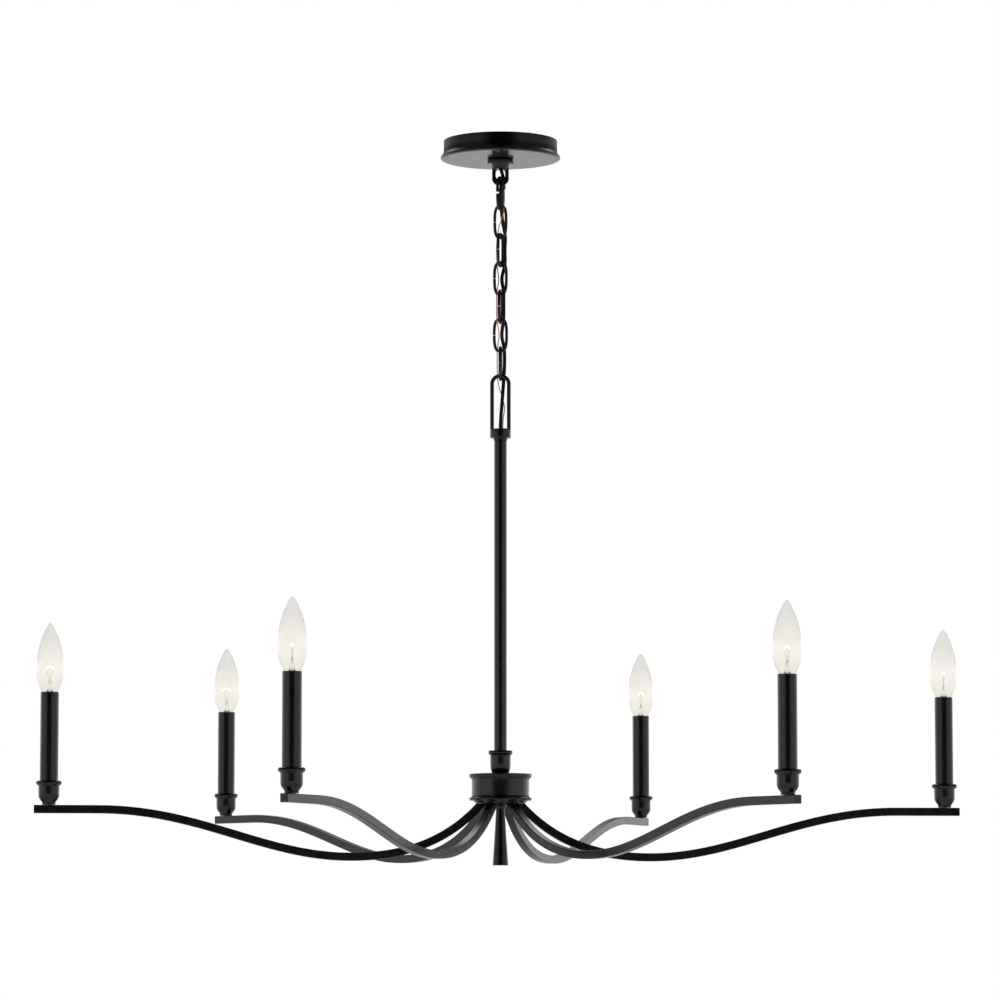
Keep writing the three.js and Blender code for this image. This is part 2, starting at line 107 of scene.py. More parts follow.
def softened(outline, closed=True, steps=4):
    """Rounds each corner given as (radius, height, reach), with a support point either side of it."""
    points = []
    for i, corner in enumerate(outline):
        here = Vector(corner[:2])
        reach = corner[2] if len(corner) > 2 else 0
        if not reach or (not closed and i in (0, len(outline) - 1)):
            points.append(here)
            continue
        before = Vector(outline[i - 1][:2]) - here
        after = Vector(outline[(i + 1) % len(outline)][:2]) - here
        reach = min(reach, before.length * ROUNDING_LIMIT, after.length * ROUNDING_LIMIT)
        first = here + before.normalized() * reach
        last = here + after.normalized() * reach
        points.append(first + before.normalized() * reach * SUPPORT_REACH)
        for k in range(steps + 1):
            t = k / steps
            points.append(first * (1 - t) ** 2 + here * 2 * t * (1 - t) + last * t ** 2)
        points.append(last + after.normalized() * reach * SUPPORT_REACH)
    return [(p.x, p.y) for p in points]


def stitch(bm, lower, upper):
    """Faces between two rings of vertices, either of which may be a single pole."""
    count = max(len(lower), len(upper))
    for k in range(count):
        corners = [lower[k % len(lower)], lower[(k + 1) % len(lower)],
                   upper[(k + 1) % len(upper)], upper[k % len(upper)]]
        corners = list(dict.fromkeys(corners))
        if len(corners) > 2:
            bm.faces.new(corners)


def revolved(name, outline, turns, shape=None, sharp=SHARP_EDGE):
    """A body of revolution from a closed outline. shape(angle, radius, height) can change its radius."""
    bm = bmesh.new()
    rings = []
    for radius, height in outline:
        if radius < 1e-6:
            rings.append([bm.verts.new((0, 0, height * MM))])
            continue
        ring = []
        for k in range(turns):
            angle = 2 * math.pi * k / turns
            r = shape(angle, radius, height) if shape else radius
            ring.append(bm.verts.new((r * math.cos(angle) * MM, r * math.sin(angle) * MM, height * MM)))
        rings.append(ring)
    for k, ring in enumerate(rings):
        following = rings[(k + 1) % len(rings)]
        if len(ring) > 1 or len(following) > 1:
            stitch(bm, ring, following)
    return mesh_of(name, bm, sharp)


def swept(name, path, section, start_side=None, taper=0.0):
    """A section of (side, up) points in metres carried along a path without twisting, and closed.

    taper is the share by which the first and last sections are smaller.
    """
    path = [Vector(p) for p in path]
    bm = bmesh.new()
    tangents = []
    for i in range(len(path)):
        tangents.append((path[min(i + 1, len(path) - 1)] - path[max(i - 1, 0)]).normalized())
    side = Vector(start_side) if start_side else tangents[0].orthogonal()
    side = (side - tangents[0] * side.dot(tangents[0])).normalized()
    rings = []
    for i, (point, tangent) in enumerate(zip(path, tangents)):
        if i:
            side = tangents[i - 1].rotation_difference(tangent) @ side
            side = (side - tangent * side.dot(tangent)).normalized()
        up = tangent.cross(side)
        scale = 1 - taper if i in (0, len(path) - 1) else 1
        rings.append([bm.verts.new(point + side * a * scale + up * b * scale) for a, b in section])
    for lower, upper in zip(rings, rings[1:]):
        stitch(bm, lower, upper)
    bm.faces.new(rings[0])
    bm.faces.new(rings[-1])
    return mesh_of(name, bm)


def round_section(radius, sides):
    return [(radius * math.cos(2 * math.pi * k / sides), radius * math.sin(2 * math.pi * k / sides))
            for k in range(sides)]


def rounded_square(size, corner, steps=4):
    """A square section with round corners and a support point either side of each."""
    half = size / 2 - corner
    support = half - corner * 0.4
    points = []
    for quarter in range(4):
        centre = Vector((half, half))
        turn = Matrix.Rotation(math.pi / 2 * quarter, 2)
        bend = [Vector((half + corner, support))]
        for k in range(steps + 1):
            angle = math.pi / 2 * k / steps
            bend.append(centre + Vector((math.cos(angle), math.sin(angle))) * corner)
        bend.append(Vector((support, half + corner)))
        points += [tuple(turn @ p) for p in bend]
    return points


def smooth_route(points, per_span):
    """A centripetal curve through the points, in short steps."""
    points = [Vector(p) for p in points]
    spread = [points[0] * 2 - points[1], *points, points[-1] * 2 - points[-2]]
    line = []
    for p0, p1, p2, p3 in zip(spread, spread[1:], spread[2:], spread[3:]):
        t0, t1 = 0, (p1 - p0).length ** 0.5
        t2 = t1 + (p2 - p1).length ** 0.5
        t3 = t2 + (p3 - p2).length ** 0.5
        for k in range(per_span):
            t = t1 + (t2 - t1) * k / per_span
            a1 = p0 * ((t1 - t) / (t1 - t0)) + p1 * ((t - t0) / (t1 - t0))
            a2 = p1 * ((t2 - t) / (t2 - t1)) + p2 * ((t - t1) / (t2 - t1))
            a3 = p2 * ((t3 - t) / (t3 - t2)) + p3 * ((t - t2) / (t3 - t2))
            b1 = a1 * ((t2 - t) / (t2 - t0)) + a2 * ((t - t0) / (t2 - t0))
            b2 = a2 * ((t3 - t) / (t3 - t1)) + a3 * ((t - t1) / (t3 - t1))
            line.append(b1 * ((t2 - t) / (t2 - t1)) + b2 * ((t - t1) / (t2 - t1)))
    return [*line, points[-1]]


def show(mesh, material):
    obj = bpy.data.objects.new(mesh.name, mesh)
    mesh.materials.append(material)
    bpy.context.scene.collection.objects.link(obj)
    return obj


def solid_ops(obj, cutters=(), union=(), bevel=0.0):
    """Joins, cuts and bevels an object for good, and removes the helpers."""
    for helper, operation in [*[(u, "UNION") for u in union], *[(c, "DIFFERENCE") for c in cutters]]:
        step = obj.modifiers.new("join", "BOOLEAN")
        step.operation = operation
        step.solver = "EXACT"
        step.object = helper
    if bevel:
        step = obj.modifiers.new("ease", "BEVEL")
        step.width = bevel
        step.segments = 3
        step.limit_method = "ANGLE"
        step.angle_limit = math.radians(BEVEL_ABOVE)
        step.use_clamp_overlap = True
    graph = bpy.context.evaluated_depsgraph_get()
    made = bpy.data.meshes.new_from_object(obj.evaluated_get(graph))
    obj.modifiers.clear()
    bm = bmesh.new()
    bm.from_mesh(made)
    name = obj.data.name
    material = obj.data.materials[0]
    obj.data.name = name + "_raw"
    obj.data = mesh_of(name, bm, sharp=38)
    obj.data.materials.append(material)
    for helper in [*union, *cutters]:
        bpy.data.objects.remove(helper)
    return obj


def stand_in(obj, node):
    """obj takes the place of a CAD node, and rides on its body."""
    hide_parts(node)
    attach(obj, BODY_OF[node])
    return obj


class Spot:
    """A CAD node's heights and radii in millimetres, about an upright axis given in metres."""

    def __init__(self, node, axis=(0, 0)):
        low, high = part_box(node)
        self.bottom, self.top = low.z / MM, high.z / MM
        reach = [math.hypot(v.co.x - axis[0], v.co.y - axis[1]) for v in frame["nodes"][node].data.vertices]
        self.radius, self.bore = max(reach) / MM, min(reach) / MM


# ------------------------------------------------------------------ material helpers
NOISE_ROUGHNESS = 0.55
COOL = (0.94, 0.955, 1.0, 1.0)         # the paint's gloss leans slightly to blue


def new_material(name, **sockets):
    """A material with one Principled shader, whose even values are set on its own sockets."""
    material = bpy.data.materials.new(name)
    material.use_nodes = True
    shader = material.node_tree.nodes["Principled BSDF"]
    for socket, value in sockets.items():
        shader.inputs[socket.replace("_", " ")].default_value = value
    return material, material.node_tree, shader


def noise(tree, scale, detail, stretch=None):
    """Noise in the object's own space. stretch squeezes it along X, Y or Z."""
    place = tree.nodes.new("ShaderNodeTexCoord")
    texture = tree.nodes.new("ShaderNodeTexNoise")
    texture.inputs["Scale"].default_value = scale
    texture.inputs["Detail"].default_value = detail
    texture.inputs["Roughness"].default_value = NOISE_ROUGHNESS
    source = place.outputs["Object"]
    if stretch:
        squeeze = tree.nodes.new("ShaderNodeMapping")
        squeeze.inputs["Scale"].default_value = stretch
        tree.links.new(source, squeeze.inputs["Vector"])
        source = squeeze.outputs["Vector"]
    tree.links.new(source, texture.inputs["Vector"])
    return texture.outputs["Fac"]


def ramp(tree, factor, low, high, start=0.35, end=0.65):
    """Colours or greys from low to high as the factor goes from start to end."""
    node = tree.nodes.new("ShaderNodeValToRGB")
    colours = [c if isinstance(c, tuple) else (c, c, c) for c in (low, high)]
    for element, position, colour in zip(node.color_ramp.elements, (start, end), colours):
        element.position = position
        element.color = (*colour, 1)
    tree.links.new(factor, node.inputs["Fac"])
    return node.outputs["Color"]


def vary(tree, shader, socket, factor, low, high):
    """Lets one of the shader's sockets wander between two colours or values."""
    tree.links.new(ramp(tree, factor, low, high), shader.inputs[socket])


def bump(tree, shader, height, depth, strength, after=None):
    """A fine relief, depth in metres, laid over the one given as after."""
    node = tree.nodes.new("ShaderNodeBump")
    node.inputs["Distance"].default_value = depth
    node.inputs["Strength"].default_value = strength
    tree.links.new(height, node.inputs["Height"])
    if after:
        tree.links.new(after, node.inputs["Normal"])
    tree.links.new(node.outputs["Normal"], shader.inputs["Normal"])
    return node.outputs["Normal"]


def satin_black():
    """Powder coat: an orange-peel skin over a faint mottle."""
    material, tree, shader = new_material("satin_black", IOR=1.52, Specular_Tint=COOL)
    vary(tree, shader, "Base Color", noise(tree, 45, 4), (0.0005, 0.0010, 0.0024), (0.0020, 0.0028, 0.0048))
    vary(tree, shader, "Roughness", noise(tree, 160, 4), 0.17, 0.23)
    peel = bump(tree, shader, noise(tree, 620, 2), 0.00003, 0.2)
    bump(tree, shader, noise(tree, 2600, 2), 0.000006, 0.2, after=peel)
    return material


def sleeve_black():
    """Painted tube: smoother than the powder coat, with faint drawing lines along it."""
    material, tree, shader = new_material("candle_sleeve_black", IOR=1.5, Specular_Tint=COOL)
    vary(tree, shader, "Base Color", noise(tree, 60, 3), (0.0005, 0.0009, 0.0020), (0.0020, 0.0026, 0.0042))
    vary(tree, shader, "Roughness", noise(tree, 220, 3), 0.17, 0.22)
    bump(tree, shader, noise(tree, 900, 2, stretch=(1, 1, 0.04)), 0.00001, 0.2)
    return material


def zinc_steel():
    """Bright zinc plate, a little cloudy, with fine rolling lines."""
    material, tree, shader = new_material("zinc_steel", Metallic=1.0)
    vary(tree, shader, "Base Color", noise(tree, 120, 5), (0.46, 0.47, 0.48), (0.66, 0.67, 0.66))
    vary(tree, shader, "Roughness", noise(tree, 300, 4), 0.26, 0.48)
    bump(tree, shader, noise(tree, 1500, 3, stretch=(0.06, 1, 1)), 0.00002, 0.4)
    return material


def phenolic():
    """Dark moulded resin with a sandy skin."""
    material, tree, shader = new_material("socket_phenolic", IOR=1.52)
    vary(tree, shader, "Base Color", noise(tree, 260, 5), (0.008, 0.0072, 0.0066), (0.022, 0.019, 0.017))
    vary(tree, shader, "Roughness", noise(tree, 700, 3), 0.45, 0.62)
    bump(tree, shader, noise(tree, 2200, 3), 0.00003, 0.5)
    return material


def lamp_brass():
    """Plated screw shell, darker where it has been handled."""
    material, tree, shader = new_material("lamp_base", Metallic=1.0)
    vary(tree, shader, "Base Color", noise(tree, 190, 5), (0.42, 0.29, 0.12), (0.72, 0.56, 0.30))
    vary(tree, shader, "Roughness", noise(tree, 420, 4), 0.18, 0.36)
    bump(tree, shader, noise(tree, 1700, 2), 0.00002, 0.3)
    return material


def bare_copper():
    """Drawn copper wire with lines along it."""
    material, tree, shader = new_material("bare_copper", Metallic=1.0)
    vary(tree, shader, "Base Color", noise(tree, 150, 4), (0.60, 0.17, 0.075), (0.90, 0.34, 0.19))
    vary(tree, shader, "Roughness", noise(tree, 800, 3, stretch=(1, 1, 0.1)), 0.28, 0.45)
    bump(tree, shader, noise(tree, 2600, 2, stretch=(1, 1, 0.05)), 0.00001, 0.5)
    return material


def cord_black():
    """Extruded flex, with fine flow lines along its length."""
    material, tree, shader = new_material("cord_black", IOR=1.36)
    vary(tree, shader, "Base Color", noise(tree, 90, 4), (0.0018, 0.0018, 0.0020), (0.0052, 0.0052, 0.0056))
    vary(tree, shader, "Roughness", noise(tree, 400, 3), 0.42, 0.58)
    bump(tree, shader, noise(tree, 1500, 2, stretch=(1, 1, 0.06)), 0.00003, 0.4)
    return material


HALO_CENTRE = (0.15, 0.15, 0.36)       # in the piece's own box, squeezed as below
HALO_SQUEEZE = (0.3, 0.3, 1)
HALO_COLOUR = (1.0, 0.86, 0.66)
HALO_FULL, HALO_GONE = 0.12, 0.42      # distances from its centre, in the same measure


def clear_glass(name="clear_glass", index=1.36, glow=0.035):
    """Blown glass with faint ripples from the mould, and a painted glow at mid height for the lamp's light caught
    in it.
    """
    material, tree, shader = new_material(name, IOR=index, Transmission_Weight=1.0)
    vary(tree, shader, "Base Color", noise(tree, 70, 2), (0.886, 0.873, 0.851), (0.912, 0.899, 0.877))
    vary(tree, shader, "Roughness", noise(tree, 240, 3), 0.0, 0.03)
    bump(tree, shader, noise(tree, 130, 1, stretch=(1, 1, 0.35)), 0.0002, 0.06)
    # Painted glow: warm emission around a point at mid height of the glass, standing in for the filament's light
    # scattered in it.
    place = tree.nodes.new("ShaderNodeTexCoord")
    near = tree.nodes.new("ShaderNodeVectorMath")
    near.operation = "DISTANCE"
    flatten = tree.nodes.new("ShaderNodeMapping")
    flatten.inputs["Scale"].default_value = HALO_SQUEEZE
    tree.links.new(place.outputs["Generated"], flatten.inputs["Vector"])
    tree.links.new(flatten.outputs["Vector"], near.inputs[0])
    near.inputs[1].default_value = HALO_CENTRE
    halo = ramp(tree, near.outputs["Value"], HALO_COLOUR, 0.0, HALO_FULL, HALO_GONE)
    tree.links.new(halo, shader.inputs["Emission Color"])
    shader.inputs["Emission Strength"].default_value = glow
    return material


def glowing(name, colour, strength):
    """Wire that is hot, or that has a painted glow for the light it catches from the wire that is, a little uneven
    along its turns.
    """
    material, tree, shader = new_material(name, Metallic=1.0, Roughness=0.5)
    duller = tuple(0.75 * c for c in colour)
    heat_and_painted_glow = ramp(tree, noise(tree, 900, 2), duller, colour)
    tree.links.new(heat_and_painted_glow, shader.inputs["Emission Color"])
    tree.links.new(heat_and_painted_glow, shader.inputs["Base Color"])
    shader.inputs["Emission Strength"].default_value = strength
    return material


BLACK = satin_black()
SLEEVE_BLACK = sleeve_black()
ZINC = zinc_steel()
PHENOLIC = phenolic()
LAMP_BRASS = lamp_brass()
COPPER = bare_copper()
CORD_BLACK = cord_black()
GLASS = clear_glass()
FILAMENT = glowing("filament", (1.0, 0.66, 0.34), 5)
# The lead wires are not hot: their glow is painted, standing in for the filament's light on them.
LEAD = glowing("lead_wire", (0.90, 0.58, 0.36), 0.22)
# The glass stem gets the same painted glow, a little stronger.
STEM_GLASS = clear_glass("lamp_stem", 1.2, 0.05)
MATERIAL_OF = {
    "satin_black": BLACK, "candle_sleeve_black": SLEEVE_BLACK, "zinc_steel": ZINC,
    "socket_phenolic": PHENOLIC, "lamp_base": LAMP_BRASS, "clear_glass": GLASS,
    "cord_black": CORD_BLACK, "bare_copper": COPPER,
}


# ------------------------------------------------------------------ cords through the chain
CORD_WIDTH, CORD_THICK = 0.0042, 0.0024
WIRE_RADIUS = 0.0006
CORD_ROUTE = [
    (0, 0, -0.001), (0, 0, -0.024), (0.0001, 0, -0.030), (0.0012, -0.0004, -0.0355),
    (0.0026, -0.0019, -0.0405), (0.0028, -0.0043, -0.0445), (0.0016, -0.0070, -0.051),
    (0.0004, -0.0082, -0.058), (0.0003, -0.0085, -0.068), (0.0009, -0.0068, -0.079),
    (0.0026, -0.0009, -0.095), (0.0056, 0.0024, -0.112), (0.0052, 0.0022, -0.128),
    (0.0052, 0.0029, -0.145), (0.0017, -0.0005, -0.162), (0.0036, -0.0058, -0.178),
    (0.0038, -0.0056, -0.195), (0.0036, -0.0055, -0.212), (0.0016, -0.0002, -0.229),
    (0.0044, 0.0045, -0.245), (0.0048, 0.0046, -0.262), (0.0040, 0.0046, -0.278),
    (0.0030, 0.0026, -0.293), (0.0015, 0.0010, -0.312), (0.0002, 0.0001, -0.332),
    (0, 0, -0.345), (0, 0, -0.372),
]
WIRE_ROUTE = [
    (0, 0.00275, -0.001), (0, 0.00275, -0.024), (0.0006, 0.0028, -0.031), (0.0026, 0.0035, -0.0375),
    (0.0046, 0.0049, -0.0435), (0.0056, 0.0049, -0.049), (0.0055, 0.0026, -0.0542),
    (0.0046, -0.0014, -0.0578), (0.0032, -0.0040, -0.062), (0.0028, -0.0050, -0.069),
    (0.0039, -0.0064, -0.078), (0.0038, -0.0074, -0.084), (0.0024, -0.0068, -0.0895),
    (0.0004, -0.0038, -0.0955), (-0.0018, 0.0006, -0.102), (-0.0035, 0.0049, -0.1105),
    (-0.0046, 0.0039, -0.128), (-0.0040, 0.0046, -0.145), (-0.0020, 0.0006, -0.165),
    (-0.0042, -0.0030, -0.179), (-0.0044, -0.0030, -0.195), (-0.0040, -0.0034, -0.212),
    (-0.0016, 0, -0.229), (-0.0036, 0.0040, -0.245), (-0.0038, 0.0038, -0.262),
    (-0.0034, 0.0044, -0.278), (-0.0014, 0.0054, -0.290), (0.0026, 0.0050, -0.302),
    (0.0046, 0.0024, -0.314), (0.0031, 0.0004, -0.330), (0.0028, 0, -0.345), (0.0028, 0, -0.366),
]


def twin_section(width, thick, steps=7):
    """Two round cores side by side with a shallow groove between them."""
    core = thick / 2
    offset = width / 2 - core
    spread, groove = math.pi * 0.42, 0.72
    points = []
    for side in (1, -1):
        for k in range(steps + 1):
            angle = -spread + 2 * spread * k / steps
            x = offset + core * math.cos(angle)
            points.append((side * x, side * core * math.sin(angle)))
        points.append((0, side * core * groove))
    return points


def laced(node, route, section, material):
    """A cord laced through the chain, in lengths that each span the hinge between two neighbouring bodies."""
    line = smooth_route(route, 6)
    hinges = [joint["pos_m"][2] for joint in frame["joints"] if joint["child"] in CHAIN]
    cuts = [line[0].z + 1, *[(a + b) / 2 for a, b in zip(hinges, hinges[1:])], line[-1].z - 1]
    side = Vector((1, 0, 0))
    for i, (upper, lower) in enumerate(zip(CHAIN, CHAIN[1:])):
        kept = [k for k, p in enumerate(line) if cuts[i + 1] < p.z <= cuts[i]]
        stretch = line[kept[0]:kept[-1] + 2]
        mesh = swept(f"{node}_length_{i + 1}", stretch, section, start_side=side)
        obj = show(mesh, material)
        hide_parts(node)
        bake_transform(obj)
        for first, second in zip(stretch, stretch[1:]):
            direction = (second - first).normalized()
            side = (side - direction * side.dot(direction)).normalized()


laced("supply_cord", CORD_ROUTE, twin_section(CORD_WIDTH, CORD_THICK), CORD_BLACK)
laced("ground_wire", WIRE_ROUTE, round_section(WIRE_RADIUS, 12), COPPER)


# ------------------------------------------------------------------ turned pieces
def turned(node, outline, axis=(0, 0), **options):
    """A revolved piece in place of a CAD node, on the same upright axis."""
    obj = show(revolved(f"{node}_form", outline, **options), MATERIAL_OF[SLOT_OF[node]])
    obj.data.transform(Matrix.Translation((axis[0], axis[1], 0)))
    return stand_in(obj, node)


HEXAGON_CORNER = 1.1547                # a hexagon's corner over its apothem
HEXAGON_BORE = 0.8                     # points nearer in than this share of the apothem stay where they are
CHAMFER_SLOPE = 1.7


def hexagonal(across_flats, chamfer_height, bottom, top):
    """Pushes an outline's outer points out to a hexagon with chamfered corners."""
    apothem = across_flats / 2

    def shape(angle, radius, height):
        if radius < apothem * HEXAGON_BORE:
            return radius
        sector = (angle + math.pi / 6) % (math.pi / 3) - math.pi / 6
        corner = apothem / math.cos(sector)
        inset = max(0, chamfer_height - min(height - bottom, top - height)) * CHAMFER_SLOPE
        return min(corner, apothem * HEXAGON_CORNER - inset)
    return shape


def thread(depth, pitch, low, high, beyond=0.0):
    """A helical groove between two heights, in points no nearer in than beyond."""
    def shape(angle, radius, height):
        if radius < beyond or not low < height < high:
            return radius
        phase = (height / pitch - angle / (2 * math.pi)) % 1
        fade = min(1, (height - low) / pitch, (high - height) / pitch)
        return radius - depth * fade * (0.5 - 0.5 * math.cos(2 * math.pi * phase))
    return shape


def climb(radius, bottom, top, step):
    """Closely spaced points up a threaded wall."""
    count = max(2, round(abs(top - bottom) / step))
    return [(radius, bottom + (top - bottom) * k / count) for k in range(count + 1)]


def make_canopy():
    s = Spot("canopy")
    lip, hole, low, wall = s.radius, s.bore, s.bottom, 1.2
    drum = lip - 4
    turned("canopy", softened([
        (hole, low, 0.3), (lip - 3.2, low, 2), (lip - 0.7, low + 0.6, 1.2), (lip, low + 2, 1.1),
        (lip - 0.7, low + 3.6, 0.9), (drum + 1.6, low + 5, 1.4), (drum + 0.3, low + 7.4, 2.2),
        (drum, low + 11, 3), (drum, s.top - 0.5, 0.4), (drum - 0.35, s.top, 0.3), (drum - wall, s.top, 0.3),
        (drum - wall, low + 6.4, 2), (drum - wall - 1.2, low + wall, 1.5), (hole, low + wall, 0.3),
    ]), turns=160)


def make_ring_nut():
    s = Spot("ring_nut")
    ridges, ridge_depth = 20, 0.75

    def knurl(angle, radius, height):
        if radius < s.radius - 1.5:
            return radius
        wave = abs(((angle * ridges / (2 * math.pi)) % 1) * 2 - 1)
        return radius - ridge_depth * (1 - wave) ** 1.5
    turned("ring_nut", softened([
        (s.bore, s.bottom + 0.3, 0.2), (s.bore + 0.4, s.bottom, 0.2), (s.radius - 0.9, s.bottom, 0.3),
        (s.radius, s.bottom + 0.8, 0.3), (s.radius, s.top - 0.8, 0.3), (s.radius - 0.9, s.top, 0.3),
        (s.bore + 0.4, s.top, 0.2), (s.bore, s.top - 0.3, 0.2),
    ]), turns=240, shape=knurl)


def make_stem():
    s = Spot("stem")
    turned("stem", softened([
        (s.bore, s.bottom, 0.2), (s.radius, s.bottom, 0.35), (s.radius, s.top, 0.35), (s.bore, s.top, 0.2),
    ]), turns=72)


def make_stem_coupling():
    s = Spot("stem_coupling")
    b, t, flange = s.bottom, s.top, s.radius
    turned("stem_coupling", softened([
        (s.bore, b, 0.3), (9.2, b, 0.8), (10.6, b + 2.6, 2), (11.45, b + 6, 2.4), (11.85, b + 11, 3),
        (11.85, t - 5.6, 1.2), (12.7, t - 4.5, 1), (flange - 0.2, t - 3.6, 0.7), (flange, t - 2.2, 0.9),
        (flange - 0.3, t - 0.5, 0.5), (flange - 1, t, 0.4), (s.bore, t, 0.3),
    ]), turns=96)


def make_hub():
    s = Spot("hub_shell")
    b, t, wall = s.bottom, s.top, 1.2
    rim, drum = s.radius, s.radius - 3
    turned("hub_shell", softened([
        (drum - wall, b, 0.3), (rim - 1.1, b, 0.4), (rim, b + 1, 0.9), (rim, b + 2.5, 0.9),
        (rim - 1, b + 3.5, 0.7), (drum + 0.5, b + 4, 0.4), (drum + 0.3, b + 5.2, 0.4), (drum, b + 5.6, 0.3),
        (drum, t - 6.7, 0.4), (drum + 0.5, t - 6.2, 0.3), (drum + 0.5, t - 5.4, 0.3),
        (rim - 0.9, t - 4.9, 0.5), (rim, t - 2.2, 1), (rim, t - 0.7, 0.6), (rim - 1.1, t, 0.5),
        (s.bore, t, 0.3), (s.bore, t - 1.6, 0.3), (drum - wall, t - 1.6, 1),
    ]), turns=144)


def make_finial():
    s = Spot("finial")
    b, t = s.bottom, s.top
    rod = Spot("hub_rod")
    bore, recess = rod.radius + 0.3, rod.bottom - 1
    turned("finial", softened([
        (0, b), (s.radius - 0.3, b, 0.25), (s.radius, b + 0.5, 0.3), (8.75, b + 5, 3), (8.25, b + 13, 4),
        (7.55, b + 23, 4), (6.9, b + 33, 4), (6.25, b + 43.5, 4), (5.6, b + 54, 3), (5.2, b + 62, 2),
        (5.2, b + 65.6, 0.6), (6.5, b + 67.4, 0.7), (6.6, b + 68.6, 0.5), (6.6, t, 0.3), (bore, t, 0.2),
        (bore, recess), (0, recess),
    ], closed=False), turns=72)


def make_hub_plate():
    s = Spot("hub_plate")
    b, t = s.bottom, s.top
    turned("hub_plate", softened([
        (s.bore, b, 0.3), (s.radius - 2, b, 0.6), (s.radius, t - 0.7, 0.4), (s.radius, t, 0.2),
        (s.bore, t, 0.3),
    ]), turns=96)


def make_threaded_tube(node, depth, pitch, turns):
    """A tube with a thread all the way up its outside."""
    s = Spot(node)
    turned(node, [(s.bore, s.top), (s.bore, s.bottom), *climb(s.radius, s.bottom, s.top, pitch / 4)],
           turns=turns, shape=thread(depth, pitch, s.bottom, s.top, beyond=s.radius - 0.1), sharp=60)


def make_fixings():
    """The hidden crossbar's nut and screw, the canopy nipple, the hub's rod and nut."""
    nut = Spot("crossbar_nut")
    turned("crossbar_nut", softened([
        (nut.bore, nut.bottom), (nut.bore + 0.5, nut.bottom, 0.1), (8, nut.bottom), (8, nut.bottom + 1),
        (8, nut.top - 1), (8, nut.top), (nut.bore, nut.top),
    ]), turns=96, shape=hexagonal(16, 0.6, nut.bottom, nut.top))
    nut = Spot("hub_nut")
    turned("hub_nut", softened([
        (nut.bore, nut.bottom), (7.5, nut.bottom), (7.5, nut.bottom + 1), (7.5, nut.top - 1), (7.5, nut.top),
        (nut.bore, nut.top),
    ]), turns=96, shape=hexagonal(15, 0.8, nut.bottom, nut.top))
    make_threaded_tube("canopy_nipple", 0.5, 0.94, turns=48)
    make_threaded_tube("hub_rod", 0.4, 1.2, turns=32)
    low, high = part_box("ground_screw")
    axis = ((low.x + high.x) / 2, (low.y + high.y) / 2)
    s = Spot("ground_screw", axis)
    turned("ground_screw", softened([
        (0, s.bottom + 1), (0.9, s.bottom + 1, 0.1), (0.9, s.bottom, 0.1), (2.6, s.bottom, 0.5),
        (s.radius, s.bottom + 0.8, 0.4), (s.radius, s.bottom + 2.3, 0.3), (1.9, s.bottom + 2.3, 0.1),
        (1.9, s.top), (0, s.top),
    ], closed=False), axis, turns=48)


make_canopy()
make_ring_nut()
make_stem()
make_stem_coupling()
make_hub()
make_finial()
make_hub_plate()
make_fixings()


# ------------------------------------------------------------------ crossbar and collar loop
def prism(name, outline, low, high, axis="Z"):
    """An outline of (x, y) millimetres raised between two levels, along Z or along Y."""
    bm = bmesh.new()
    rings = []
    for level in (low, high):
        if axis == "Z":
            rings.append([bm.verts.new((x * MM, y * MM, level * MM)) for x, y in outline])
        else:
            rings.append([bm.verts.new((x * MM, level * MM, y * MM)) for x, y in outline])
    stitch(bm, *rings)
    bm.faces.new(rings[0])
    bm.faces.new(rings[1])
    return mesh_of(name, bm, sharp=30)


def arc(x, y, radius, start, end, steps=12):
    """Points round a centre, from a start to an end angle in degrees."""
    points = []
    for k in range(steps + 1):
        angle = math.radians(start + (end - start) * k / steps)
        points.append((x + radius * math.cos(angle), y + radius * math.sin(angle)))
    return points


def slot_outline(x, straight, radius):
    return [*arc(x + straight / 2, 0, radius, -90, 90), *arc(x - straight / 2, 0, radius, 90, 270)]


def make_crossbar():
    low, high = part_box("crossbar")
    length, width = (high.x - low.x) / MM / 2, (high.y - low.y) / MM / 2
    bottom, top, corner = low.z / MM, high.z / MM, 5
    outline = []
    for quarter, (x, y) in enumerate(((1, 1), (-1, 1), (-1, -1), (1, -1))):
        outline += arc(x * (length - corner), y * (width - corner), corner,
                       90 * quarter, 90 * quarter + 90, 8)
    bar = show(prism("crossbar_form", outline, bottom, top), ZINC)
    # The nipple's hole, the ground screw's hole, and a slot towards either end.
    holes = [
        arc(0, 0, 5.1, 0, 350, 35), arc(-18, 0, 2.2, 0, 345, 23),
        slot_outline(32, 8, 2.4), slot_outline(-32, 8, 2.4),
    ]
    cutters = [show(prism(f"hole_{k}", hole, bottom - 2, top + 2), ZINC) for k, hole in enumerate(holes)]
    stand_in(solid_ops(bar, cutters=cutters, bevel=0.0002), "crossbar")


def make_collar_loop():
    low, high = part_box("collar_loop")
    half, depth, eye_r, shoulder = 9.75, 5.5, 5.5, -29
    thread_r, bore_r, cord_r = 10.9, 5.1, 4.1
    bottom, top = low.z / MM, high.z / MM
    loop_outline = [
        (-half + 4.6, bottom), (half - 4.6, bottom), (half - 1.2, bottom + 3), (half, bottom + 6),
        (half, shoulder), (-half, shoulder), (-half, bottom + 6), (-half + 1.2, bottom + 3),
    ]
    loop = show(prism("collar_loop_form", loop_outline, -depth / 2, depth / 2, axis="Y"), BLACK)
    eye = [(-4, -45.2), (4, -45.2), (eye_r, -41.4), *arc(0, -37.9, eye_r, 0, 180, 24), (-eye_r, -41.4)]
    eye_cut = show(prism("eye_cut", eye, -15, 15, axis="Y"), BLACK)
    collar = show(revolved("collar_part", [
        (0, -34.4), (8.4, -34.4), (9.8, -31), (thread_r, -28.6), (thread_r, top), (0, top),
    ], turns=64), BLACK)
    bore = show(revolved("bore_cut", [
        (0, -42), (cord_r, -42), (cord_r, -27), (bore_r, -27), (bore_r, top + 2), (0, top + 2),
    ], turns=48), BLACK)
    stand_in(solid_ops(loop, union=[collar], cutters=[eye_cut, bore], bevel=0.00055), "collar_loop")


make_crossbar()
make_collar_loop()


